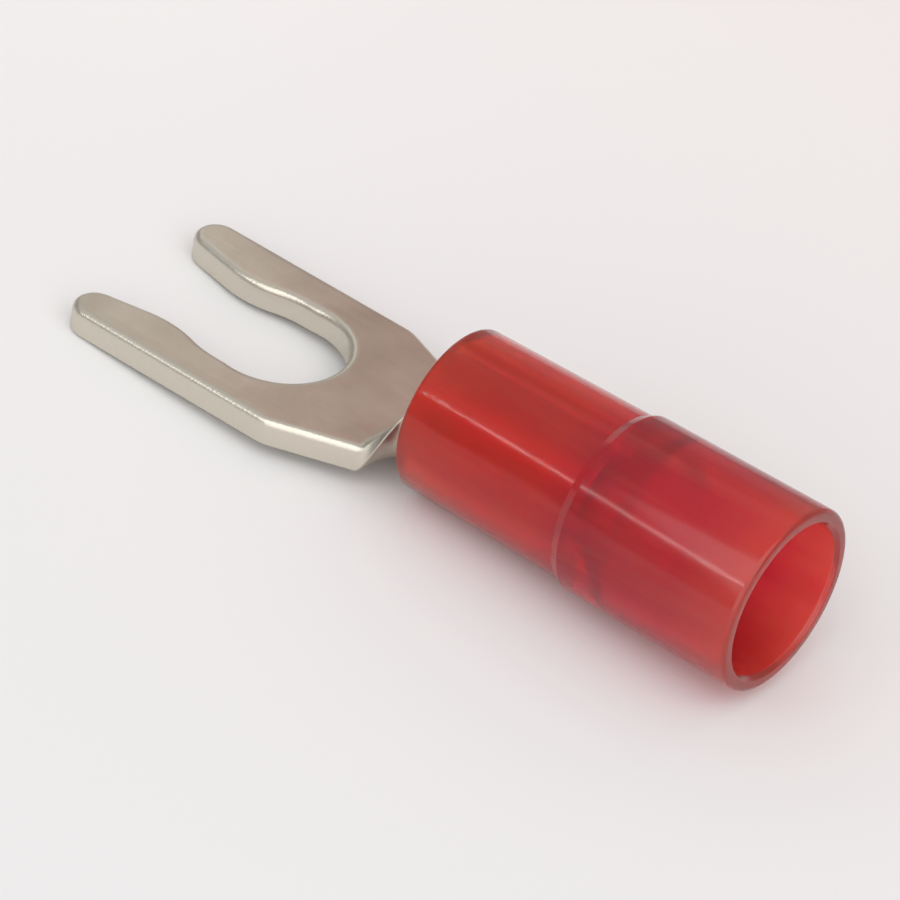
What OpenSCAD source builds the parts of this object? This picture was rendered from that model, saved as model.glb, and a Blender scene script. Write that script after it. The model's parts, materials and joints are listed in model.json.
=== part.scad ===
// Insulated fork terminal for a 3.5 mm stud and 0.5 to 1.5 square millimetre wire.
// One copper blank is stamped and rolled: a flat fork in front, a wire barrel behind.
// A moulded nylon sleeve is pushed over the barrel and funnels the wire into it.
// The origin is the stud's centre on the underside of the tongue, and +X points to the tine tips.

/* [Copper sheet] */
// Thickness of the sheet that the terminal is stamped from
sheet_thickness = 0.8; // [0.6:0.05:0.9]

/* [Fork] */
// Width across both tines
fork_width = 6.4; // [6:0.1:8]
// Diameter of the round end of the stud slot
stud_slot_diameter = 3.8; // [3.2:0.1:4.3]
// Length of the slot's straight sides in front of the stud's centre
slot_side_length = 0.6; // [0.4:0.1:1]
// How far each tine swells into the slot to hold the stud
pinch_depth = 0.3; // [0.1:0.05:0.5]
// Stud's centre to the pinch
pinch_reach = 2.5; // [2:0.1:3]
// Angle at which each side of the slot opens from the pinch to the tips
mouth_angle = 12; // [6:1:16]
// Stud's centre to the tine tips
tine_reach = 4.9; // [4.5:0.1:6]
// Stud's centre back to the shoulder corners
shoulder_reach = 2.1; // [1.5:0.1:2.6]
// Slope of the shoulders, from the length of the terminal
shoulder_angle = 22; // [16:1:26]
// Rounding of the shoulder corners
shoulder_radius = 1.2; // [0.4:0.1:2]

/* [Wire barrel] */
// Bore that takes the stripped wire
barrel_bore = 1.8; // [1.5:0.1:2]
// Length of the rolled barrel
barrel_length = 5.5; // [4.5:0.1:6.5]
// Stud's centre back to the front edge of the barrel
barrel_reach = 5.45; // [5:0.05:6.5]
// Length over which the flat neck curls up into the barrel
curl_length = 1; // [0.8:0.1:1.4]
// How far round, from the bottom, the curled neck joins the barrel on each side
wrap_angle = 115; // [95:5:130]
// Gap left where the two edges of the rolled barrel meet
seam_gap = 0.1; // [0.05:0.01:0.2]
// Width of the groove along the seam, where the edges are rounded over
seam_groove_width = 0.4; // [0.25:0.05:0.6]
// Depth of that groove
seam_groove_depth = 0.25; // [0.1:0.05:0.4]

/* [Nylon sleeve] */
// Length of the sleeve
sleeve_length = 11; // [9.5:0.1:13]
// How far the barrel stands out of the sleeve's fork end
barrel_proud = 0.2; // [0.05:0.05:0.5]
// Gap between the barrel and the sleeve
sleeve_clearance = 0.02; // [0.01:0.01:0.05]
// Wall of the sleeve over the barrel, at the fork end
barrel_wall = 0.62; // [0.5:0.01:0.7]
// Growth of the sleeve's radius from its fork end to its step
barrel_draft = 0.1; // [0:0.01:0.15]
// Bore of the wire entry, which takes the wire's insulation
entry_bore = 4.35; // [4.2:0.05:4.8]
// Wall of the wire entry just behind the step
entry_wall = 0.39; // [0.3:0.01:0.5]
// Growth of the sleeve's radius from its step to its mouth
entry_flare = 0.07; // [0:0.01:0.12]
// Length of the bevelled step between the two outer diameters
step_length = 0.25; // [0.1:0.05:0.5]
// Length of the straight throat behind the barrel
throat_length = 0.3; // [0.1:0.05:0.6]
// Length of the funnel from the throat to the wire entry
funnel_length = 1.25; // [0.8:0.05:1.8]
// Rounding of the outer rims
rim_radius = 0.15; // [0.05:0.01:0.2]
// Chamfer of the inner rims
rim_chamfer = 0.12; // [0.05:0.01:0.2]

/* [Hidden] */
$fn = 96;

// Largest turn of one step on an arc of an outline, in degrees
arc_step = 7.5;
// Steps of the neck along its length and across its width
curl_steps = 10;
width_steps = 16;
// Reach of the neck into the tongue and the barrel, and its inset from their faces
neck_lap = 0.3;
neck_inset = 0.02;
// Inset of the slot's sides from the slot's round end, and the reach of a cut past a face
slot_inset = 0.02;
cut_past = 1;

fork_half = fork_width / 2;
slot_radius = stud_slot_diameter / 2;
slot_half = slot_radius - slot_inset;
pinch_half = slot_half - pinch_depth;
// The slot's side turns in and out again by this angle, on two arcs of one radius
swell_angle = 2 * atan(pinch_depth / (pinch_reach - slot_side_length));
swell_radius = (pinch_reach - slot_side_length) / sin(swell_angle) / 2;
// Half the slot's width at the tips, on the straight flare that follows the swell
flare_start = pinch_reach + swell_radius * sin(mouth_angle);
flare_start_half = pinch_half + swell_radius * (1 - cos(mouth_angle));
mouth_half = flare_start_half + (tine_reach - flare_start) * tan(mouth_angle);
// Each tip is one arc that touches the tine's outer edge and its flare
tip_radius = (fork_half - mouth_half) * cos(mouth_angle) / (1 + cos(mouth_angle) - sin(mouth_angle));

barrel_inner_radius = barrel_bore / 2;
barrel_outer_radius = barrel_inner_radius + sheet_thickness;
barrel_mid_radius = barrel_inner_radius + sheet_thickness / 2;
barrel_front = -barrel_reach;
axis_height = barrel_outer_radius;

// The tongue is flat in front of neck_front, where its half width is flat_half
neck_front = barrel_front + curl_length;
flat_half = fork_half + (neck_front + shoulder_reach) * tan(shoulder_angle);
shoulder_end_half = flat_half - curl_length * tan(shoulder_angle);
wrap_half = wrap_angle * PI / 180 * barrel_mid_radius;

sleeve_front = barrel_front - barrel_proud;
// Places along the sleeve, from its fork end
seat = barrel_length - barrel_proud;
funnel_start = seat + throat_length;
funnel_end = funnel_start + funnel_length;
sleeve_bore_radius = barrel_outer_radius + sleeve_clearance;
front_radius = sleeve_bore_radius + barrel_wall;
step_radius = front_radius + barrel_draft;
entry_radius = entry_bore / 2;
behind_step_radius = entry_radius + entry_wall;
mouth_radius = behind_step_radius + entry_flare;

// Points of an arc from one angle to another
function arc(centre, radius, from, to) =
    let (steps = ceil(abs(to - from) / arc_step))
    [for (i = [0:steps])
        let (a = from + (to - from) * i / steps)
        centre + radius * [cos(a), sin(a)]];

function mirrored(points) = [for (i = [len(points) - 1:-1:0]) [points[i].x, -points[i].y]];

// One side of the tongue, from the neck round the tine to the slot
function tongue_side() = concat(
    [[neck_front, flat_half]],
    arc([-shoulder_reach + shoulder_radius * tan(shoulder_angle / 2), fork_half - shoulder_radius],
        shoulder_radius, 90 + shoulder_angle, 90),
    arc([tine_reach - tip_radius, fork_half - tip_radius], tip_radius, 90, mouth_angle - 90),
    arc([pinch_reach, pinch_half + swell_radius], swell_radius, mouth_angle - 90, -90 - swell_angle),
    arc([slot_side_length, slot_half - swell_radius], swell_radius, 90 - swell_angle, 90),
    [[0, slot_half]]);

// Curvature of the neck's section, from flat at 0 to the barrel's own at 1
function curl(u) = u * u * (3 - 2 * u) / barrel_mid_radius;

// Half width of the neck round its curl: it follows the shoulder, then sweeps out into the barrel
function neck_half(u) =
    flat_half + (shoulder_end_half - flat_half) * u + (wrap_half - shoulder_end_half) * pow(u, 4);

// Point of a section with curvature k, at s round the curl and h above the middle of the sheet
function curled_point(x, k, s, h) =
    let (a = k * s * 180 / PI)
    let (y = k == 0 ? s : sin(a) / k)
    let (rise = k == 0 ? 0 : (1 - cos(a)) / k)
    [x, y - h * sin(a), sheet_thickness / 2 + rise + h * cos(a)];

// One closed section of the neck: its upper face from right to left, then its lower face back
function neck_section(x, u) =
    let (half = neck_half(u) - neck_inset)
    let (h = sheet_thickness / 2 - neck_inset)
    concat(
        [for (i = [0:width_steps]) curled_point(x, curl(u), half * (2 * i / width_steps - 1), h)],
        [for (i = [0:width_steps]) curled_point(x, curl(u), half * (1 - 2 * i / width_steps), -h)]);

// The neck as a loft of those sections, from inside the tongue to inside the barrel wall
module curled_neck() {
    sections = concat(
        [neck_section(neck_front + neck_lap, 0)],
        [for (i = [0:curl_steps])
            neck_section(neck_front - curl_length * i / curl_steps, i / curl_steps)],
        [neck_section(barrel_front - neck_lap, 1)]);
    ring = len(sections[0]);
    last = (len(sections) - 1) * ring;
    walls = [for (j = [0:len(sections) - 2], i = [0:ring - 1])
        let (a = j * ring + i, b = j * ring + (i + 1) % ring)
        each [[a, b + ring, b], [a, a + ring, b + ring]]];
    front_cap = [for (i = [0:width_steps - 1]) [i, i + 1, ring - 2 - i, ring - 1 - i]];
    rear_cap = [for (face = front_cap) [for (i = [3:-1:0]) face[i] + last]];
    polyhedron(points = [for (section = sections) each section], faces = concat(walls, front_cap, rear_cap));
}

module tongue() {
    side = tongue_side();
    difference() {
        linear_extrude(sheet_thickness) polygon(concat(side, mirrored(side)));
        translate([0, 0, -cut_past]) cylinder(d = stud_slot_diameter, h = sheet_thickness + 2 * cut_past);
    }
}

// Section of the open seam at the top of the barrel, seen along the barrel
module seam_section() {
    groove_bottom = barrel_outer_radius - seam_groove_depth;
    top = barrel_outer_radius + cut_past;
    top_half = seam_groove_width / 2 * (1 + cut_past / seam_groove_depth);
    polygon([[-seam_gap / 2, 0], [seam_gap / 2, 0], [seam_gap / 2, groove_bottom], [top_half, top],
        [-top_half, top], [-seam_gap / 2, groove_bottom]]);
}

module barrel() {
    translate([barrel_front - barrel_length, 0, axis_height]) difference() {
        rotate([0, 90, 0]) cylinder(r = barrel_outer_radius, h = barrel_length);
        translate([-cut_past, 0, 0]) rotate([0, 90, 0])
            cylinder(d = barrel_bore, h = barrel_length + 2 * cut_past);
        translate([-cut_past, 0, 0]) rotate([90, 0, 90])
            linear_extrude(barrel_length + 2 * cut_past) seam_section();
    }
}

// Stamped and rolled tin-plated copper
module fork_lug() {
    color("#cfccc4") {
        tongue();
        curled_neck();
        barrel();
    }
}

// Half section of the sleeve: radius, and place along the sleeve from its fork end
module sleeve_section() {
    polygon(concat(
        [[sleeve_bore_radius + rim_chamfer, 0]],
        arc([front_radius - rim_radius, rim_radius], rim_radius, -90, 0),
        [[step_radius, seat], [behind_step_radius, seat + step_length]],
        arc([mouth_radius - rim_radius, sleeve_length - rim_radius], rim_radius, 0, 90),
        [[entry_radius + rim_chamfer, sleeve_length],
            [entry_radius, sleeve_length - rim_chamfer],
            [entry_radius, funnel_end],
            [barrel_inner_radius, funnel_start],
            [barrel_inner_radius, seat],
            [sleeve_bore_radius, seat],
            [sleeve_bore_radius, rim_chamfer]]));
}

// Moulded red nylon
module sleeve() {
    color("#b8202a")
        translate([sleeve_front, 0, axis_height]) rotate([0, -90, 0]) rotate_extrude() sleeve_section();
}

fork_lug();
sleeve();
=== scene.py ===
"""Insulated fork terminal: a stamped and rolled lug of tin-plated copper in a moulded nylon sleeve."""

import json
import math

import bmesh
import bpy
import numpy as np
from bpy.props import FloatProperty, FloatVectorProperty, IntProperty, PointerProperty
from mathutils import Matrix, Vector
from mathutils.geometry import delaunay_2d_cdt


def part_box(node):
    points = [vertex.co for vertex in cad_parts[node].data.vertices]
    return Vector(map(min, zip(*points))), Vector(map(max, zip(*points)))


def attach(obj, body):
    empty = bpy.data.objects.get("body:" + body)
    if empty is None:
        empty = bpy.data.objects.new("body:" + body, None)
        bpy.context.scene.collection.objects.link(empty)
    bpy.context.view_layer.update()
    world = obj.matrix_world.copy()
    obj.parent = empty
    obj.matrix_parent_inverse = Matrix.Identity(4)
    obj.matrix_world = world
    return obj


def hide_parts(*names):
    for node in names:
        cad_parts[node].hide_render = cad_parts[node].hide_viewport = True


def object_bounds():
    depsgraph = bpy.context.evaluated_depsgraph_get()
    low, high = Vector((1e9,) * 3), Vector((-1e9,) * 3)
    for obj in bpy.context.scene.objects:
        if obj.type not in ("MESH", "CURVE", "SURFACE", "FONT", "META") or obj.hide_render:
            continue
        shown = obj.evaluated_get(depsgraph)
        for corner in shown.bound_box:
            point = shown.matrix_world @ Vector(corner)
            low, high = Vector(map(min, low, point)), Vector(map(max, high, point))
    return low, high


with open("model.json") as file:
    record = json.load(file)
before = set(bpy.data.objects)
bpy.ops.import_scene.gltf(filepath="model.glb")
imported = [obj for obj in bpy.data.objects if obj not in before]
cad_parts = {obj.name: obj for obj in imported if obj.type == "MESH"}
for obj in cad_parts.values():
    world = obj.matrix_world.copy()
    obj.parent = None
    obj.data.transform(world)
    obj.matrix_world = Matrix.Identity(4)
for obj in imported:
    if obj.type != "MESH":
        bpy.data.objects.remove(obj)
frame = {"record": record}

bl_info = {
    "name": "Insulated fork terminal",
    "version": (1, 0, 0),
    "blender": (4, 5, 0),
    "location": "3D View > Sidebar > Fork terminal",
    "description": "Builds a fork terminal from its flat blank and its sleeve's section, with a stage",
    "category": "Object",
}

MM = 0.001
BODY = "root"
LUG_PIECE = "fork_lug_tinned"
SLEEVE_PIECE = "sleeve_nylon"

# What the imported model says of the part, in metres
CAD_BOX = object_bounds()
LUG_LOW, LUG_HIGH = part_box("fork_lug")
SLEEVE_LOW, SLEEVE_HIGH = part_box("sleeve")
MOUNTS = {mount["name"]: mount for mount in frame["record"]["mounts"]}
STUD_SLOT = MOUNTS["stud_slot"]["dims"]
WIRE_BORE = MOUNTS["wire_bore"]["dims"]
WIRE_ENTRY = MOUNTS["insulation_entry"]["dims"]
AXIS_HEIGHT = MOUNTS["wire_bore"]["pos_m"][2]

# Fineness of the meshes: steps of an arc, of a rounded edge, of the neck and of a moulded corner
LEAST_ARC_STEPS = 6
EDGE_STEPS = 5
NECK_STEPS = 15
FILLET_STEPS = 5
# Share of the mesh step that the points of a face keep from its outline
CLEAR_SHARE = 0.6
# Points of an outline that lie closer than this share of the mesh step are one point
DOUBLE_SHARE = 0.1
# Distance within which the filling of a face takes two points for one, in metres
MERGE_DISTANCE = 1e-9
# Curvature per metre that stands for flat, because the rolling divides by it
FLAT_CURVATURE = 0.001
# The neck's width sweeps out into the barrel with this power of the way along its curl
SWEEP_POWER = 4
# The camera sees from this share of its distance
CLIP_SHARE = 0.01
# Numbers of a mix node's sockets, because their names repeat
MIX_SHARE = 0
MIX_NUMBER_A = 2
MIX_NUMBER_B = 3
MIX_COLOUR_A = 6
MIX_COLOUR_B = 7
MIXED_COLOUR = 2


def linear(code):
    """Linear colour of an sRGB hex code."""
    levels = [int(code[i:i + 2], 16) / 255 for i in (1, 3, 5)]
    return tuple(c / 12.92 if c <= 0.04045 else ((c + 0.055) / 1.055) ** 2.4 for c in levels)


def size(name, description, default):
    """Property for a length, in metres."""
    return FloatProperty(
        name=name, description=description, default=default, min=0.0, precision=6, unit="LENGTH")


def angle(name, description, degrees):
    """Property for an angle, given in degrees and kept in radians."""
    return FloatProperty(
        name=name, description=description, default=math.radians(degrees), subtype="ANGLE")


def colour(name, description, code):
    """Property for a colour, given as an sRGB hex code and kept linear."""
    return FloatVectorProperty(
        name=name, description=description, default=linear(code), size=3, min=0.0, max=1.0,
        subtype="COLOR")


class LugSizes(bpy.types.PropertyGroup):
    """Sizes of the stamped and rolled fork lug"""

    thickness: size("Thickness", "Thickness of the copper sheet", STUD_SLOT["length_mm"] * MM)
    fork_width: size("Fork width", "Width across both tines", LUG_HIGH.y - LUG_LOW.y)
    slot_diameter: size("Slot diameter", "Round end of the stud slot", 2 * STUD_SLOT["r_mm"] * MM)
    slot_inset: size("Slot inset", "Inset of the slot's straight sides from its round end", 0.02 * MM)
    slot_side: size("Slot side", "Straight side of the slot in front of the stud's centre", 0.6 * MM)
    pinch_depth: size("Pinch depth", "How far each tine swells into the slot", 0.3 * MM)
    pinch_reach: size("Pinch reach", "Stud's centre to the pinch", 2.5 * MM)
    mouth_angle: angle("Mouth angle", "Angle at which each side of the slot opens to the tips", 12)
    tine_reach: size("Tine reach", "Stud's centre to the tine tips", LUG_HIGH.x)
    shoulder_reach: size("Shoulder reach", "Stud's centre back to the shoulder corners", 2.1 * MM)
    shoulder_angle: angle("Shoulder angle", "Slope of the shoulders", 22)
    shoulder_radius: size("Shoulder radius", "Rounding of the shoulder corners", 1.2 * MM)
    barrel_bore: size("Barrel bore", "Bore that takes the stripped wire", 2 * WIRE_BORE["r_mm"] * MM)
    barrel_length: size("Barrel length", "Length of the rolled barrel", WIRE_BORE["length_mm"] * MM)
    curl_length: size("Curl length", "Length over which the neck curls up into the barrel", 1.0 * MM)
    wrap_angle: angle("Wrap angle", "How far round the neck joins the barrel on each side", 115)
    seam_gap: size("Seam gap", "Gap where the two edges of the barrel meet", 0.1 * MM)
    seam_rounding: size("Seam rounding", "Rounding of the barrel's edges along the seam", 0.2 * MM)
    corner_radius: size("Corner radius", "Rounding of the barrel's corners in the blank", 0.35 * MM)
    roll_over: size("Roll-over", "Rounding that the punch leaves on the upper edges", 0.2 * MM)
    lower_rounding: size("Lower rounding", "Rounding of the lower edges after tumbling", 0.08 * MM)
    mesh_step: size("Mesh step", "Spacing of the points on the blank", 0.12 * MM)


class SleeveSizes(bpy.types.PropertyGroup):
    """Sizes of the moulded nylon sleeve"""

    length: size("Length", "Length of the sleeve", SLEEVE_HIGH.x - SLEEVE_LOW.x)
    clearance: size("Clearance", "Gap between the barrel and the sleeve", 0.02 * MM)
    barrel_wall: size("Barrel wall", "Wall over the barrel, at the fork end", 0.62 * MM)
    barrel_draft: size("Barrel draft", "Growth of the radius from the fork end to the step", 0.1 * MM)
    entry_bore: size("Entry bore", "Bore for the wire's insulation", 2 * WIRE_ENTRY["r_mm"] * MM)
    entry_wall: size("Entry wall", "Wall of the wire entry just behind the step", 0.39 * MM)
    # A hair less than in the solid, so that the round mouth stays inside the box of its facets
    entry_flare: size("Entry flare", "Growth of the radius from the step to the mouth", 0.065 * MM)
    step_length: size("Step length", "Bevelled step between the two outer diameters", 0.25 * MM)
    throat_length: size("Throat length", "Straight throat behind the barrel", 0.3 * MM)
    funnel_length: size("Funnel length", "Length of the funnel", 1.25 * MM)
    rim_radius: size("Rim radius", "Rounding of the outer rims", 0.15 * MM)
    rim_chamfer: size("Rim chamfer", "Chamfer of the inner rims", 0.12 * MM)
    edge_radius: size("Edge radius", "Softening of every other moulded edge", 0.05 * MM)
    segments: IntProperty(name="Segments", description="Steps round the sleeve", default=144, min=24)


class Finish(bpy.types.PropertyGroup):
    """Colours of the two materials"""

    tin: colour("Tin", "Bright tin plating", "#d4cdc0")
    dull_tin: colour("Dull tin", "Tin dulled by handling", "#b0a596")
    # Painted glow: an orange red that stands in for the barrel's bright front edge shining through the
    # wall
    nylon_painted_front_glow: colour("Nylon at the front", "Red round the barrel's bright front edge", "#f55f3a")
    # Painted light: a warmer red that stands in for the metal behind the wall throwing light back through
    # it
    nylon_painted_barrel_warmth: colour("Nylon over the barrel", "Red with metal close behind it", "#f0402c")
    # Painted shade: a deeper red that stands in for the thick nylon round the funnel darkening the light;
    # the dye's random clouds also turn to this red
    nylon_painted_shade_and_clouds: colour("Nylon of the funnel", "Red where the nylon is thickest", "#e41c42")
    # Painted light: a lighter, pinker red that stands in for light passing through the entry's thin wall
    nylon_entry_painted_light: colour("Nylon of the entry", "Red of the entry's thin wall", "#e63e52")
    # Painted light: the lightest red stands in for light falling into the open end; the moulding's lighter
    # flow lines also turn to this red
    nylon_painted_mouth_light_and_flow: colour("Nylon at the mouth", "Red at the open end", "#f66f61")
    nylon_depth: colour("Nylon depth", "Colour that a deep path turns to", "#ed4f27")


class StageSettings(bpy.types.PropertyGroup):
    """Floor, lights and camera"""

    floor: colour("Floor", "Pale floor", "#f0f0f0")
    floor_reach: size("Floor reach", "Middle of the floor to each of its sides", 2.0)
    ambient: colour("Ambient", "Soft light from all round", "#a6a6a6")
    white: colour("White", "Tint of the large lights", "#ffffff")
    warm: colour("Warm card", "Tint of the card that warms the tongue near its neck", "#ff9c86")
    pale: colour("Pale card", "Tint of the card that lightens the tine tips", "#fffff6")
    azimuth: angle("Azimuth", "Direction of the camera round the terminal", 212)
    elevation: angle("Elevation", "Height of the camera above the tongue's plane", 35)
    roll: angle("Roll", "Turn of the camera about its own line of sight", 10.5)
    distance: size("Distance", "Camera to the middle of the terminal", 170 * MM)
    fill: FloatProperty(
        name="Fill", description="Share of the picture that the terminal takes up", default=0.86,
        subtype="FACTOR")


class TerminalSettings(bpy.types.PropertyGroup):
    """All settings of the fork terminal"""

    lug: PointerProperty(type=LugSizes)
    sleeve: PointerProperty(type=SleeveSizes)
    finish: PointerProperty(type=Finish)
    stage: PointerProperty(type=StageSettings)


def barrel_radius(lug):
    """Radius of the middle of the sheet in the rolled barrel."""
    return (lug.barrel_bore + lug.thickness) / 2


def barrel_front(lug):
    """Place of the barrel's front edge along the terminal."""
    return LUG_LOW.x + lug.barrel_length


def barrel_half(lug):
    """Half the blank's width at the barrel, from its middle line to an edge of the seam."""
    return math.pi * barrel_radius(lug) - lug.seam_gap / 2


def sleeve_places(sleeve, lug):
    """Places along the sleeve from its fork end: the barrel's seat, and the funnel's start and end."""
    barrel_proud = barrel_front(lug) - SLEEVE_HIGH.x
    seat = lug.barrel_length - barrel_proud
    funnel_start = seat + sleeve.throat_length
    return seat, funnel_start, funnel_start + sleeve.funnel_length


def add_node(tree, kind, inputs=None, out=0, **settings):
    """Adds a node with its properties and its inputs, and returns one of its outputs.

    Inputs are links or values. They go by name, or by number where the names repeat.
    """
    made = tree.nodes.new(kind)
    for name, value in settings.items():
        setattr(made, name, value)
    for name, value in (inputs or {}).items():
        if isinstance(value, bpy.types.NodeSocket):
            tree.links.new(value, made.inputs[name])
        else:
            made.inputs[name].default_value = value
    return made.outputs[out] if made.outputs else None


def new_material(name):
    """A material with an empty tree."""
    material = bpy.data.materials.new(name)
    material.use_nodes = True
    material.node_tree.nodes.clear()
    return material


def tin_plated_copper(finish):
    """Copper sheet, stamped, rolled and barrel plated with tin.

    The eye sees a warm satin silver with a fine rolling grain, shallow dents from tumbling, and
    sheared edges that are brighter and streaked across the sheet.
    """
    patch_width = 1.6 * MM
    # The grain is drawn coarser than the real 0.02 mm, so that it shows
    grain_width = 0.09 * MM
    grain_length = 3 * MM
    dent_width = 0.45 * MM
    streak_width = 0.07 * MM
    streak_length = 1.5 * MM
    # Depth of the dents and of the streaks, and the grain's share of it
    depth = 0.008 * MM
    grain_share = 0.12

    material = new_material("tin_plated_copper_stamped")
    tree = material.node_tree
    place = add_node(tree, "ShaderNodeAttribute", out="Vector", attribute_name="sheet_place")
    sheared = add_node(tree, "ShaderNodeAttribute", out="Fac", attribute_name="sheared")

    # Patches of duller plating
    patches = add_node(tree, "ShaderNodeTexNoise", {
        "Vector": place, "Scale": 1 / patch_width, "Detail": 3.0})
    # Rolling grain along the sheet
    along_sheet = add_node(tree, "ShaderNodeMapping", {
        "Vector": place, "Scale": (1 / grain_length, 1 / grain_width, 1 / grain_width)})
    grain = add_node(tree, "ShaderNodeTexNoise", {"Vector": along_sheet, "Scale": 1.0, "Detail": 2.0})
    # Dents from tumbling
    dents = add_node(tree, "ShaderNodeTexNoise", {
        "Vector": place, "Scale": 1 / dent_width, "Detail": 2.0})
    # Streaks of the shear across the edge
    across_edge = add_node(tree, "ShaderNodeMapping", {
        "Vector": place, "Scale": (1 / streak_width, 1 / streak_width, 1 / streak_length)})
    streaks = add_node(tree, "ShaderNodeTexNoise", {"Vector": across_edge, "Scale": 1.0, "Detail": 1.0})

    tone = add_node(tree, "ShaderNodeMix", {
        MIX_SHARE: patches, MIX_COLOUR_A: (*finish.dull_tin, 1), MIX_COLOUR_B: (*finish.tin, 1)},
        out=MIXED_COLOUR, data_type="RGBA")
    edge_tone = add_node(tree, "ShaderNodeMix", {
        MIX_SHARE: sheared, MIX_COLOUR_A: tone, MIX_COLOUR_B: (*finish.tin, 1)},
        out=MIXED_COLOUR, data_type="RGBA")
    roughness = add_node(tree, "ShaderNodeMapRange", {"Value": grain, "To Min": 0.22, "To Max": 0.42})
    face_height = add_node(
        tree, "ShaderNodeMath", {0: grain, 1: grain_share, 2: dents}, operation="MULTIPLY_ADD")
    height = add_node(tree, "ShaderNodeMix", {
        MIX_SHARE: sheared, MIX_NUMBER_A: face_height, MIX_NUMBER_B: streaks})
    normal = add_node(tree, "ShaderNodeBump", {"Height": height, "Distance": depth, "Strength": 1.0})
    shader = add_node(tree, "ShaderNodeBsdfPrincipled", {
        "Base Color": edge_tone, "Metallic": 1.0, "Roughness": roughness, "Normal": normal})
    add_node(tree, "ShaderNodeOutputMaterial", {"Surface": shader})
    return material


def red_nylon(finish, sleeve, lug):
    """Nylon dyed red and injection moulded.

    The eye sees a cloudy red glow under a smooth skin that takes sharp highlights. Light and shade are
    painted into the red along the sleeve: a warm glow where metal lies close behind it, a deep shade round
    the thick funnel, and light in the thin wall of the wire entry and at the mouth.
    """
    cloud_width = 2.5 * MM
    # Flow lines of the moulding run along the sleeve
    flow_gap = 0.5 * MM
    flow_length = 6 * MM
    # The unevenness of the skin is drawn coarser than the real one, so that it shows
    skin_width = 0.2 * MM
    depth = 0.006 * MM
    absorption = 0.5 / MM

    material = new_material("red_nylon_moulded")
    tree = material.node_tree
    place = add_node(tree, "ShaderNodeTexCoord", out="Object")

    # Light and shade painted along the sleeve from its fork end: a glow at the front, the barrel's warm
    # red held through the middle of the barrel's length, a deep red shade in the funnel, and lighter red
    # in the entry and at the mouth
    from_origin = add_node(tree, "ShaderNodeSeparateXYZ", {"Vector": place}, out="X")
    along = add_node(tree, "ShaderNodeMapRange", {
        "Value": from_origin, "From Min": SLEEVE_HIGH.x, "From Max": SLEEVE_LOW.x})
    seat, funnel_start, funnel_end = sleeve_places(sleeve, lug)
    barrel_glow_start = 0.4 * seat
    barrel_glow_end = 0.8 * seat
    funnel_shade_end = (funnel_start + funnel_end) / 2
    entry_light_place = (funnel_end + sleeve.length) / 2
    painted_light_zones = add_node(tree, "ShaderNodeValToRGB", {"Fac": along}, out="Color")
    stops = painted_light_zones.node.color_ramp.elements
    stops[0].color = (*finish.nylon_painted_front_glow, 1)
    stops[1].color = (*finish.nylon_painted_mouth_light_and_flow, 1)
    for distance, red in (
            (barrel_glow_start, finish.nylon_painted_barrel_warmth), (barrel_glow_end, finish.nylon_painted_barrel_warmth),
            (funnel_start, finish.nylon_painted_shade_and_clouds), (funnel_shade_end, finish.nylon_painted_shade_and_clouds),
            (entry_light_place, finish.nylon_entry_painted_light)):
        stops.new(distance / sleeve.length).color = (*red, 1)

    # Clouds and flow lines of the dye, and a skin that is more uneven at the fork end
    clouds = add_node(tree, "ShaderNodeTexNoise", {
        "Vector": place, "Scale": 1 / cloud_width, "Detail": 2.0})
    along_flow = add_node(tree, "ShaderNodeMapping", {
        "Vector": place, "Scale": (1 / flow_length, 1 / flow_gap, 1 / flow_gap)})
    flow = add_node(tree, "ShaderNodeTexNoise", {"Vector": along_flow, "Scale": 1.0, "Detail": 2.0})
    skin = add_node(tree, "ShaderNodeTexNoise", {
        "Vector": place, "Scale": 1 / skin_width, "Detail": 1.0})
    skin_share = add_node(tree, "ShaderNodeMapRange", {
        "Value": along, "From Max": 0.3, "To Min": 0.9, "To Max": 0.2})

    cloud_share = add_node(tree, "ShaderNodeMapRange", {
        "Value": clouds, "From Min": 0.4, "From Max": 0.75, "To Max": 0.5})
    clouded = add_node(tree, "ShaderNodeMix", {
        MIX_SHARE: cloud_share, MIX_COLOUR_A: painted_light_zones, MIX_COLOUR_B: (*finish.nylon_painted_shade_and_clouds, 1)},
        out=MIXED_COLOUR, data_type="RGBA")
    flow_share = add_node(tree, "ShaderNodeMapRange", {
        "Value": flow, "From Min": 0.45, "From Max": 0.8, "To Max": 0.5})
    dye = add_node(tree, "ShaderNodeMix", {
        MIX_SHARE: flow_share, MIX_COLOUR_A: clouded, MIX_COLOUR_B: (*finish.nylon_painted_mouth_light_and_flow, 1)},
        out=MIXED_COLOUR, data_type="RGBA")
    roughness = add_node(tree, "ShaderNodeMapRange", {"Value": flow, "To Min": 0.08, "To Max": 0.18})
    height = add_node(
        tree, "ShaderNodeMath", {0: skin, 1: skin_share, 2: flow}, operation="MULTIPLY_ADD")
    normal = add_node(tree, "ShaderNodeBump", {"Height": height, "Distance": depth, "Strength": 1.0})
    # Part of the light passes clear through the wall, and the rest scatters in it
    shader = add_node(tree, "ShaderNodeBsdfPrincipled", {
        "Base Color": dye, "Roughness": roughness, "IOR": 1.48, "Normal": normal,
        "Transmission Weight": 0.78, "Subsurface Weight": 1.0, "Subsurface Radius": (1.0, 0.35, 0.3),
        "Subsurface Scale": 0.6 * MM})
    # Thick places swallow more green and blue than thin ones
    swallowed = add_node(tree, "ShaderNodeVolumeAbsorption", {
        "Color": (*finish.nylon_depth, 1), "Density": absorption})
    add_node(tree, "ShaderNodeOutputMaterial", {"Surface": shader, "Volume": swallowed})
    return material


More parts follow.
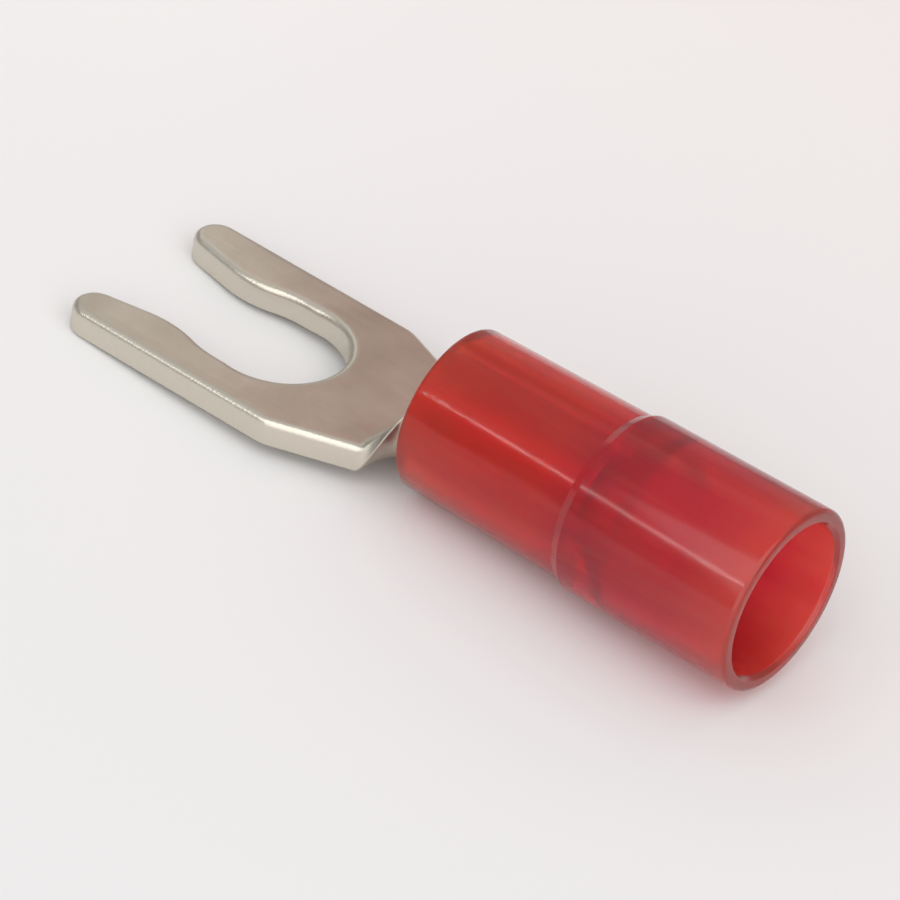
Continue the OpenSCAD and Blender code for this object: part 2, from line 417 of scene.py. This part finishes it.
def pale_floor(stage):
    """Smooth pale board with a faint sheen, which softly mirrors what stands on it."""
    # Width of the unevenness in the sealed skin
    skin_width = 30 * MM

    material = new_material("pale_board_sealed")
    tree = material.node_tree
    place = add_node(tree, "ShaderNodeTexCoord", out="Object")
    skin = add_node(tree, "ShaderNodeTexNoise", {
        "Vector": place, "Scale": 1 / skin_width, "Detail": 2.0})
    roughness = add_node(tree, "ShaderNodeMapRange", {"Value": skin, "To Min": 0.38, "To Max": 0.5})
    shader = add_node(tree, "ShaderNodeBsdfPrincipled", {
        "Base Color": (*stage.floor, 1), "Roughness": roughness, "Specular IOR Level": 0.2})
    add_node(tree, "ShaderNodeOutputMaterial", {"Surface": shader})
    return material


def arc(centre, radius, start, end, step):
    """Points of an arc from one angle to another, in radians."""
    count = max(LEAST_ARC_STEPS, math.ceil(abs(end - start) * radius / step))
    turns = np.linspace(start, end, count + 1)
    return np.array(centre) + radius * np.column_stack((np.cos(turns), np.sin(turns)))


def blank_side(lug):
    """One side of the flat blank, from the barrel's rear to the slot's end, along and across the sheet."""
    step = lug.mesh_step
    quarter_turn = math.pi / 2
    fork_half = lug.fork_width / 2
    slot_radius = lug.slot_diameter / 2
    slot_half = slot_radius - lug.slot_inset
    slot_end_angle = math.asin(slot_half / slot_radius)
    pinch_half = slot_half - lug.pinch_depth
    front = barrel_front(lug)
    rear = LUG_LOW.x
    half = barrel_half(lug)

    # The neck follows the shoulder's slope, then sweeps out into the barrel's front edge
    neck_front = front + lug.curl_length
    wrap_half = lug.wrap_angle * barrel_radius(lug)
    flat_half = fork_half + (neck_front + lug.shoulder_reach) * math.tan(lug.shoulder_angle)
    shoulder_end_half = flat_half - lug.curl_length * math.tan(lug.shoulder_angle)
    share = np.linspace(1, 0, NECK_STEPS + 1)
    slope = (shoulder_end_half - flat_half) * share
    sweep = (wrap_half - shoulder_end_half) * share ** SWEEP_POWER
    neck = np.column_stack((neck_front - lug.curl_length * share, flat_half + slope + sweep))

    # Each side of the slot turns in and out again on two arcs, then opens on a straight flare
    swell_angle = 2 * math.atan(lug.pinch_depth / (lug.pinch_reach - lug.slot_side))
    swell_radius = (lug.pinch_reach - lug.slot_side) / math.sin(swell_angle) / 2
    flare_start = lug.pinch_reach + swell_radius * math.sin(lug.mouth_angle)
    flare_start_half = pinch_half + swell_radius * (1 - math.cos(lug.mouth_angle))
    mouth_half = flare_start_half + (lug.tine_reach - flare_start) * math.tan(lug.mouth_angle)

    # Each tip is one arc that touches the tine's outer edge and its flare
    opening = math.cos(lug.mouth_angle) / (1 + math.cos(lug.mouth_angle) - math.sin(lug.mouth_angle))
    tip_radius = (fork_half - mouth_half) * opening
    tip = (lug.tine_reach - tip_radius, fork_half - tip_radius)

    corner = lug.corner_radius
    shoulder = (-lug.shoulder_reach + lug.shoulder_radius * math.tan(lug.shoulder_angle / 2),
                fork_half - lug.shoulder_radius)
    pinch = (lug.pinch_reach, pinch_half + swell_radius)
    slot_side = (lug.slot_side, slot_half - swell_radius)
    return np.vstack((
        arc((rear + corner, half - corner), corner, math.pi, quarter_turn, step),
        arc((front - corner, half - corner), corner, quarter_turn, 0, step),
        neck,
        arc(shoulder, lug.shoulder_radius, quarter_turn + lug.shoulder_angle, quarter_turn, step),
        arc(tip, tip_radius, quarter_turn, lug.mouth_angle - quarter_turn, step),
        arc(pinch, swell_radius, lug.mouth_angle - quarter_turn, -quarter_turn - swell_angle, step),
        arc(slot_side, swell_radius, quarter_turn - swell_angle, quarter_turn, step),
        arc((0, 0), slot_radius, slot_end_angle, math.pi, step)))


def spaced(points, step):
    """A closed outline with its long edges divided and its double points dropped."""
    following = np.roll(points, -1, axis=0)
    kept = []
    for here, there in zip(points, following):
        length = np.linalg.norm(there - here)
        if length > DOUBLE_SHARE * step:
            count = max(1, round(length / step))
            kept.extend(here + (there - here) * i / count for i in range(count))
    return np.array(kept)


def blank_outline(lug):
    """The closed outline of the flat blank, clockwise."""
    side = blank_side(lug)
    other_side = side[-2::-1] * (1, -1)
    return spaced(np.vstack((side, other_side)), lug.mesh_step)


def edge_loops(outline, lug):
    """Rings round the blank from its upper face over the rounded edge to its lower face."""
    along = np.roll(outline, -1, axis=0) - np.roll(outline, 1, axis=0)
    along /= np.linalg.norm(along, axis=1)[:, None]
    inward = np.column_stack((along[:, 1], -along[:, 0]))

    # The barrel's outer edges are rounded further where they meet at the seam
    at_seam = np.clip((np.abs(outline[:, 1]) - barrel_half(lug)) / lug.corner_radius + 1, 0, 1)
    at_seam = at_seam ** 2 * (3 - 2 * at_seam)
    upper = np.full(len(outline), lug.roll_over)
    lower = lug.lower_rounding + (lug.seam_rounding - lug.lower_rounding) * at_seam

    # The first and last rings lie on the flat faces, and keep them flat beside the rounding
    half = lug.thickness / 2
    support = lug.lower_rounding
    turns = np.linspace(0, math.pi / 2, EDGE_STEPS + 1)
    profile = [(upper + support, np.full(len(outline), half))]
    profile += [(upper * (1 - math.sin(t)), half - upper * (1 - math.cos(t))) for t in turns]
    profile += [(lower * (1 - math.sin(t)), lower * (1 - math.cos(t)) - half) for t in turns[::-1]]
    profile += [(lower + support, np.full(len(outline), -half))]
    return [np.column_stack((outline + inward * inset[:, None], height)) for inset, height in profile]


def face_points(loop, step):
    """Points of a triangular grid inside a closed loop, clear of its edge."""
    low, high = loop.min(axis=0), loop.max(axis=0)
    row_gap = step * math.sqrt(3) / 2
    rows = np.arange(low[1], high[1], row_gap)
    columns = np.arange(low[0], high[0], step)
    grid = np.array([(x + step / 2 * (i % 2), y) for i, y in enumerate(rows) for x in columns])
    inside = np.zeros(len(grid), bool)
    clear = np.full(len(grid), np.inf)
    for here, there in zip(loop, np.roll(loop, -1, axis=0)):
        edge = there - here
        share = np.clip((grid - here) @ edge / (edge @ edge), 0, 1)
        clear = np.minimum(clear, np.linalg.norm(grid - here - share[:, None] * edge, axis=1))
        # A point is inside if the loop lies an odd number of times straight ahead of it
        crosses = (here[1] > grid[:, 1]) != (there[1] > grid[:, 1])
        if crosses.any():
            reach = here[0] + edge[0] * (grid[:, 1] - here[1]) / edge[1]
            inside ^= crosses & (grid[:, 0] < reach)
    return grid[inside & (clear > CLEAR_SHARE * step)]


def flat_blank(lug):
    """Mesh of the flat blank: along the sheet in X, across it in Y, and above its middle in Z."""
    loops = edge_loops(blank_outline(lug), lug)
    count = len(loops[0])
    points = [tuple(p) for loop in loops for p in loop]
    # The rings between the flat faces are the sheared edge
    sheared = [float(1 < i < len(loops) - 2) for i in range(len(loops)) for _ in range(count)]
    faces = []
    for ring in range(len(loops) - 1):
        upper, lower = ring * count, (ring + 1) * count
        for i in range(count):
            j = (i + 1) % count
            faces.append((upper + i, upper + j, lower + j, lower + i))

    # Each flat face is filled with triangles, of which only those inside its ring are kept
    inside_only = 1
    for ring in (0, len(loops) - 1):
        rim = loops[ring][:, :2]
        height = loops[ring][0, 2]
        inner = face_points(rim, lug.mesh_step)
        flat = [Vector(p) for p in np.vstack((rim, inner))]
        border = [(i, (i + 1) % count) for i in range(count)]
        filled = delaunay_2d_cdt(flat, border, [], inside_only, MERGE_DISTANCE)
        made_points, _, triangles, sources, _, _ = filled
        places = []
        for point, source in zip(made_points, sources):
            if source and source[0] < count:
                places.append(ring * count + source[0])
            else:
                places.append(len(points))
                points.append((point.x, point.y, height))
                sheared.append(0.0)
        faces.extend(tuple(places[i] for i in triangle) for triangle in triangles)

    mesh = bpy.data.meshes.new(LUG_PIECE)
    mesh.from_pydata(points, [], faces)
    mesh.attributes.new("sheared", "FLOAT", "POINT").data.foreach_set("value", sheared)
    return mesh


def sleeve_section(sleeve, lug):
    """Corners of the sleeve's half section: radius, place along it from the fork end, and rounding."""
    seat, funnel_start, funnel_end = sleeve_places(sleeve, lug)
    throat = lug.barrel_bore / 2
    bore = throat + lug.thickness + sleeve.clearance
    front_radius = bore + sleeve.barrel_wall
    step_radius = front_radius + sleeve.barrel_draft
    entry = sleeve.entry_bore / 2
    behind_step = entry + sleeve.entry_wall
    mouth_radius = behind_step + sleeve.entry_flare
    rim = sleeve.rim_radius
    chamfer = sleeve.rim_chamfer
    edge = sleeve.edge_radius
    return [
        (bore + chamfer, 0, edge),
        (front_radius, 0, rim),
        (step_radius, seat, edge),
        (behind_step, seat + sleeve.step_length, edge),
        (mouth_radius, sleeve.length, rim),
        (entry + chamfer, sleeve.length, edge),
        (entry, sleeve.length - chamfer, edge),
        (entry, funnel_end, rim),
        (throat, funnel_start, rim),
        (throat, seat, edge),
        (bore, seat, edge),
        (bore, chamfer, edge),
    ]


def new_tree(name, inputs):
    """A geometry tree with a geometry in and out and named inputs, and its input node's outputs."""
    tree = bpy.data.node_groups.new(name, "GeometryNodeTree")
    tree.interface.new_socket("Geometry", in_out="OUTPUT", socket_type="NodeSocketGeometry")
    tree.interface.new_socket("Geometry", in_out="INPUT", socket_type="NodeSocketGeometry")
    for label, kind in inputs.items():
        tree.interface.new_socket(label, in_out="INPUT", socket_type=kind)
    return tree, add_node(tree, "NodeGroupInput").node.outputs


def finish_tree(tree, geometry, material):
    """Ends a tree in real geometry with its material."""
    real = add_node(tree, "GeometryNodeRealizeInstances", {"Geometry": geometry})
    smooth = add_node(tree, "GeometryNodeSetShadeSmooth", {"Geometry": real})
    dressed = add_node(tree, "GeometryNodeSetMaterial", {"Geometry": smooth, "Material": material})
    add_node(tree, "NodeGroupOutput", {"Geometry": dressed})


def roll_tree():
    """Geometry tree that rolls a flat blank: its neck curls up along its length into a round barrel."""
    tree, given = new_tree("roll_the_blank", {
        "Neck front": "NodeSocketFloat", "Barrel front": "NodeSocketFloat",
        "Barrel curvature": "NodeSocketFloat", "Thickness": "NodeSocketFloat",
        "Material": "NodeSocketMaterial"})
    place = add_node(tree, "GeometryNodeInputPosition")
    marked = add_node(tree, "GeometryNodeStoreNamedAttribute", {
        "Geometry": given["Geometry"], "Name": "sheet_place", "Value": place}, data_type="FLOAT_VECTOR")
    along, across, above = add_node(tree, "ShaderNodeSeparateXYZ", {"Vector": place}).node.outputs

    # The curvature grows smoothly from next to nothing in the tongue to the barrel's own
    curvature = add_node(tree, "ShaderNodeMapRange", {
        "Value": along, "From Min": given["Neck front"], "From Max": given["Barrel front"],
        "To Min": FLAT_CURVATURE, "To Max": given["Barrel curvature"]}, interpolation_type="SMOOTHSTEP")
    turn = add_node(tree, "ShaderNodeMath", {0: curvature, 1: across}, operation="MULTIPLY")
    sine = add_node(tree, "ShaderNodeMath", {0: turn}, operation="SINE")
    cosine = add_node(tree, "ShaderNodeMath", {0: turn}, operation="COSINE")
    half_angle = add_node(tree, "ShaderNodeMath", {0: turn, 1: 0.5}, operation="MULTIPLY")
    half_sine = add_node(tree, "ShaderNodeMath", {0: half_angle}, operation="SINE")

    # Middle of the sheet: sideways sin(a)/k, and upwards (1 - cos(a))/k, which is 2 sin(a/2)^2 / k
    middle_side = add_node(tree, "ShaderNodeMath", {0: sine, 1: curvature}, operation="DIVIDE")
    half_square = add_node(tree, "ShaderNodeMath", {0: half_sine, 1: half_sine}, operation="MULTIPLY")
    bow = add_node(tree, "ShaderNodeMath", {0: half_square, 1: curvature}, operation="DIVIDE")
    middle_rise = add_node(tree, "ShaderNodeMath", {0: bow, 1: 2.0}, operation="MULTIPLY")
    # A point above the middle leans with the sheet
    lean = add_node(tree, "ShaderNodeMath", {0: above, 1: sine}, operation="MULTIPLY")
    side = add_node(tree, "ShaderNodeMath", {0: middle_side, 1: lean}, operation="SUBTRACT")
    rise = add_node(
        tree, "ShaderNodeMath", {0: above, 1: cosine, 2: middle_rise}, operation="MULTIPLY_ADD")
    # The underside of the tongue lies at height 0
    height = add_node(
        tree, "ShaderNodeMath", {0: given["Thickness"], 1: 0.5, 2: rise}, operation="MULTIPLY_ADD")
    rolled_place = add_node(tree, "ShaderNodeCombineXYZ", {"X": along, "Y": side, "Z": height})
    rolled = add_node(tree, "GeometryNodeSetPosition", {"Geometry": marked, "Position": rolled_place})
    finish_tree(tree, rolled, given["Material"])
    return tree


def turn_tree():
    """Geometry tree that rounds the corners of a section and turns it about the barrel's axis."""
    tree, given = new_tree("turn_the_section", {
        "Turning radius": "NodeSocketFloat", "Segments": "NodeSocketInt", "Fork end": "NodeSocketFloat",
        "Axis height": "NodeSocketFloat", "Material": "NodeSocketMaterial"})
    section = add_node(tree, "GeometryNodeMeshToCurve", {"Mesh": given["Geometry"]})
    rounding = add_node(
        tree, "GeometryNodeInputNamedAttribute", {"Name": "rounding"}, data_type="FLOAT")
    rounded = add_node(tree, "GeometryNodeFilletCurve", {
        "Curve": section, "Count": FILLET_STEPS, "Radius": rounding, "Limit Radius": True}, mode="POLY")
    ring = add_node(tree, "GeometryNodeCurvePrimitiveCircle", {
        "Resolution": given["Segments"], "Radius": given["Turning radius"]})
    upright = add_node(tree, "GeometryNodeSetCurveNormal", {"Curve": ring}, mode="Z_UP")
    turned = add_node(tree, "GeometryNodeCurveToMesh", {"Curve": upright, "Profile Curve": rounded})
    seat = add_node(tree, "ShaderNodeCombineXYZ", {"X": given["Fork end"], "Z": given["Axis height"]})
    laid = add_node(tree, "GeometryNodeTransform", {
        "Geometry": turned, "Translation": seat, "Rotation": (0, math.pi / 2, 0)})
    finish_tree(tree, laid, given["Material"])
    return tree


def shape(piece, tree, values):
    """Runs a piece through a tree with its named inputs set, and keeps the result as a plain mesh."""
    modifier = piece.modifiers.new(tree.name, "NODES")
    modifier.node_group = tree
    for socket in tree.interface.items_tree:
        if socket.in_out == "INPUT" and socket.name in values:
            modifier[socket.identifier] = values[socket.name]
    depsgraph = bpy.context.evaluated_depsgraph_get()
    shaped = bpy.data.meshes.new_from_object(
        piece.evaluated_get(depsgraph), preserve_all_data_layers=True, depsgraph=depsgraph)
    piece.modifiers.remove(modifier)
    rough = piece.data
    piece.data = shaped
    bpy.data.meshes.remove(rough)
    shaped.name = piece.name


def turn_faces_out(mesh):
    """Turns the faces of a closed shell outwards, and stops if the shell is open."""
    shell = bmesh.new()
    shell.from_mesh(mesh)
    if not all(edge.is_manifold for edge in shell.edges):
        raise RuntimeError(f"{mesh.name} is not closed")
    bmesh.ops.recalc_face_normals(shell, faces=shell.faces)
    shell.to_mesh(mesh)
    shell.free()


def new_object(name, data):
    """An object in the scene, at the origin."""
    made = bpy.data.objects.new(name, data)
    bpy.context.scene.collection.objects.link(made)
    return made


class FORKTERMINAL_OT_fork_lug(bpy.types.Operator):
    """Stamp the flat blank of the lug and roll its barrel"""

    bl_idname = "fork_terminal.fork_lug"
    bl_label = "Fork lug"

    def execute(self, context):
        settings = context.scene.fork_terminal
        lug = settings.lug
        piece = new_object(LUG_PIECE, flat_blank(lug))
        shape(piece, roll_tree(), {
            "Neck front": barrel_front(lug) + lug.curl_length,
            "Barrel front": barrel_front(lug),
            "Barrel curvature": 1 / barrel_radius(lug),
            "Thickness": lug.thickness,
            "Material": tin_plated_copper(settings.finish)})
        turn_faces_out(piece.data)
        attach(piece, BODY)
        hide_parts("fork_lug")
        return {"FINISHED"}


class FORKTERMINAL_OT_sleeve(bpy.types.Operator):
    """Mould the nylon sleeve"""

    bl_idname = "fork_terminal.sleeve"
    bl_label = "Nylon sleeve"

    def execute(self, context):
        settings = context.scene.fork_terminal
        sleeve = settings.sleeve
        corners = sleeve_section(sleeve, settings.lug)
        turning_radius = sleeve.entry_bore / 2
        mesh = bpy.data.meshes.new(SLEEVE_PIECE)
        mesh.from_pydata(
            [(radius - turning_radius, along, 0) for radius, along, _ in corners],
            [(i, (i + 1) % len(corners)) for i in range(len(corners))], [])
        roundings = [rounding for _, _, rounding in corners]
        mesh.attributes.new("rounding", "FLOAT", "POINT").data.foreach_set("value", roundings)
        piece = new_object(SLEEVE_PIECE, mesh)
        shape(piece, turn_tree(), {
            "Turning radius": turning_radius,
            "Segments": sleeve.segments,
            "Fork end": SLEEVE_HIGH.x,
            "Axis height": AXIS_HEIGHT,
            "Material": red_nylon(settings.finish, sleeve, settings.lug)})
        turn_faces_out(piece.data)
        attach(piece, BODY)
        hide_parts("sleeve")
        return {"FINISHED"}


def resting_line(pieces):
    """Height at the stud's centre and slope of the line that the terminal rests on, seen from its side."""
    points = sorted({(v.co.x, v.co.z) for piece in pieces for v in piece.data.vertices})
    # The lower side of the convex hull holds every line that the terminal can rest on
    hull = []
    for x, z in points:
        while len(hull) > 1:
            (x0, z0), (x1, z1) = hull[-2:]
            if (x1 - x0) * (z - z0) - (z1 - z0) * (x - x0) > 0:
                break
            hull.pop()
        hull.append((x, z))
    for (x0, z0), (x1, z1) in zip(hull, hull[1:]):
        if x0 <= 0 <= x1:
            slope = (z1 - z0) / (x1 - x0)
            return z0 - slope * x0, slope
    raise RuntimeError("the terminal doesn't reach over its origin")


def add_floor(stage, pieces):
    """A floor that touches the tine tips and the sleeve's rim, so that the terminal lies on it."""
    height, slope = resting_line(pieces)
    reach = stage.floor_reach
    corners = [(-reach, -reach), (reach, -reach), (reach, reach), (-reach, reach)]
    mesh = bpy.data.meshes.new("floor")
    mesh.from_pydata([(x, y, height + slope * x) for x, y in corners], [], [(0, 1, 2, 3)])
    mesh.materials.append(pale_floor(stage))
    new_object("floor", mesh)


def add_world(stage):
    """Even soft light from all round."""
    world = bpy.data.worlds.new("studio")
    world.use_nodes = True
    world.node_tree.nodes.clear()
    glow = add_node(world.node_tree, "ShaderNodeBackground", {
        "Color": (*stage.ambient, 1), "Strength": 1.0})
    add_node(world.node_tree, "ShaderNodeOutputWorld", {"Surface": glow})
    bpy.context.scene.world = world


def add_light(name, place, aim, width, height, brightness, tint):
    """A soft rectangular light, turned to a point. A brightness of 1 looks white in a mirror."""
    data = bpy.data.lights.new(name, "AREA")
    data.shape = "RECTANGLE"
    data.size = width
    data.size_y = height
    data.energy = brightness * math.pi * width * height
    data.color = tint
    light = new_object(name, data)
    light.location = place
    light.rotation_euler = (Vector(place) - Vector(aim)).to_track_quat("Z", "Y").to_euler()


def add_lights(stage):
    """Studio lights, with places and sizes in metres."""
    middle = (CAD_BOX[0] + CAD_BOX[1]) / 2
    # Lights the floor evenly
    add_light(
        "ceiling", place=(0, 0.115, 0.35), aim=(0, 0.115, 0), width=0.9, height=0.73,
        brightness=0.25, tint=stage.white)
    # Fills the side that faces the camera and softens the shadow under the sleeve
    add_light(
        "front", place=(-0.24, 0.32, 0.3), aim=middle, width=1.1, height=0.8,
        brightness=1.22, tint=stage.white)
    # The tongue mirrors these two cards, the warm one near its neck and the pale one at its tips
    add_light(
        "warm_card", place=(0.001, -0.048, 0.04), aim=(0, 0, 0), width=0.06, height=0.06,
        brightness=0.3, tint=stage.warm)
    add_light(
        "tip_card", place=(0.0215, -0.0195, 0.017), aim=(0.0093, 0, 0.0008), width=0.014, height=0.02,
        brightness=0.45, tint=stage.pale)
    # Draws the line of light along the sleeve
    add_light(
        "strip", place=(0.28, 0.5, 0.35), aim=middle, width=0.3, height=0.015,
        brightness=10, tint=stage.white)


def camera_axes(stage):
    """The camera's right, up and backward directions."""
    back = Vector((
        math.sin(stage.azimuth) * math.cos(stage.elevation),
        -math.cos(stage.azimuth) * math.cos(stage.elevation),
        math.sin(stage.elevation)))
    level = Vector((math.cos(stage.azimuth), math.sin(stage.azimuth), 0))
    upright = back.cross(level)
    right = math.cos(stage.roll) * level + math.sin(stage.roll) * upright
    return right, back.cross(right), back


def add_camera(stage, pieces):
    """A camera from the photograph's direction that frames the pieces."""
    axes = camera_axes(stage)
    right, up, back = axes
    seen = [[v.co.dot(axis) for axis in axes] for piece in pieces for v in piece.data.vertices]
    lows = [min(axis) for axis in zip(*seen)]
    highs = [max(axis) for axis in zip(*seen)]
    middle = [(low + high) / 2 for low, high in zip(lows, highs)]
    spread = max(high - low for low, high in zip(lows[:2], highs[:2]))
    data = bpy.data.cameras.new("camera")
    data.lens = data.sensor_width * stage.distance * stage.fill / spread
    data.clip_start = CLIP_SHARE * stage.distance
    camera = new_object("camera", data)
    place = middle[0] * right + middle[1] * up + (middle[2] + stage.distance) * back
    camera.matrix_world = Matrix.Translation(place) @ Matrix(axes).transposed().to_4x4()
    bpy.context.scene.camera = camera


class FORKTERMINAL_OT_stage(bpy.types.Operator):
    """Add the floor, the lights and the camera"""

    bl_idname = "fork_terminal.stage"
    bl_label = "Stage"

    def execute(self, context):
        stage = context.scene.fork_terminal.stage
        pieces = [bpy.data.objects[name] for name in (LUG_PIECE, SLEEVE_PIECE)]
        add_floor(stage, pieces)
        add_world(stage)
        context.scene.view_settings.view_transform = "Standard"
        add_lights(stage)
        add_camera(stage, pieces)
        return {"FINISHED"}


class VIEW3D_PT_fork_terminal(bpy.types.Panel):
    """Settings and steps of the fork terminal"""

    bl_label = "Fork terminal"
    bl_space_type = "VIEW_3D"
    bl_region_type = "UI"
    bl_category = "Fork terminal"

    def draw(self, context):
        settings = context.scene.fork_terminal
        for operator, group in STEPS:
            box = self.layout.box()
            box.operator(operator.bl_idname)
            for name in getattr(settings, group).__annotations__:
                box.prop(getattr(settings, group), name)
        for name in settings.finish.__annotations__:
            self.layout.prop(settings.finish, name)


STEPS = (
    (FORKTERMINAL_OT_fork_lug, "lug"),
    (FORKTERMINAL_OT_sleeve, "sleeve"),
    (FORKTERMINAL_OT_stage, "stage"),
)
CLASSES = (
    LugSizes, SleeveSizes, Finish, StageSettings, TerminalSettings,
    *(operator for operator, _ in STEPS), VIEW3D_PT_fork_terminal,
)


def register():
    """Registers the classes and puts the settings on the scene."""
    for kind in CLASSES:
        bpy.utils.register_class(kind)
    bpy.types.Scene.fork_terminal = PointerProperty(type=TerminalSettings)


def unregister():
    """Takes the settings and the classes away again."""
    del bpy.types.Scene.fork_terminal
    for kind in reversed(CLASSES):
        bpy.utils.unregister_class(kind)


def main():
    """Builds the terminal and its stage."""
    register()
    bpy.ops.fork_terminal.fork_lug()
    bpy.ops.fork_terminal.sleeve()
    bpy.ops.fork_terminal.stage()


if __name__ == "__main__":
    main()
